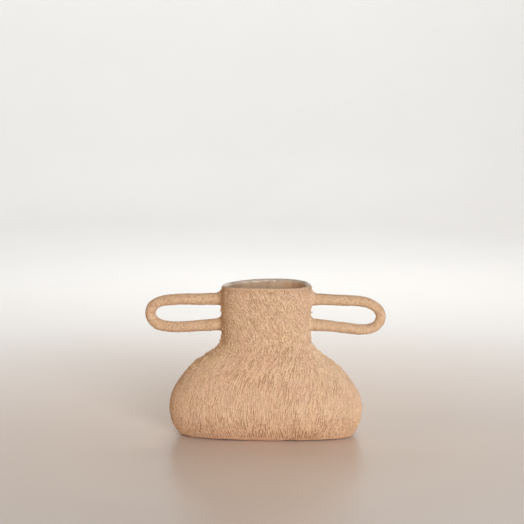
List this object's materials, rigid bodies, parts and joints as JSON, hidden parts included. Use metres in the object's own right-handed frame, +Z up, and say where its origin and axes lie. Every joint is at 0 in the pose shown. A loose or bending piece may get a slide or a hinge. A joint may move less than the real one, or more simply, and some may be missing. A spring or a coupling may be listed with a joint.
{
  "type": "vase",
  "caption": "Hand-built stoneware vase with a wide flattened belly, an upright oval neck, long horizontal loop handles and a glazed inside, for flowers or dry stems.",
  "frame": {"origin": "middle of the base, on the surface that the vase stands on", "axes": "+X along the two handles to the right hand of someone facing the vase, +Y to its back, +Z up"},
  "size_m": [0.2858, 0.102, 0.1833],
  "materials": {
    "clay": "unglazed, covered in short scratched strokes",
    "handle_clay": "unglazed, rolled smooth with faint cross marks",
    "glaze": "satin gloss"
  },
  "bodies": {
    "root": {"floor_slab": "clay", "floor_seam_coil": "clay", "foot_wall": "clay", "belly_wall": "clay", "shoulder_wall": "clay", "neck_wall": "clay", "rim_coil": "clay", "left_handle": "handle_clay", "right_handle": "handle_clay", "left_upper_root": "clay", "left_lower_root": "clay", "right_upper_root": "clay", "right_lower_root": "clay", "glaze_lining": "glaze"}
  },
  "joints": []
}
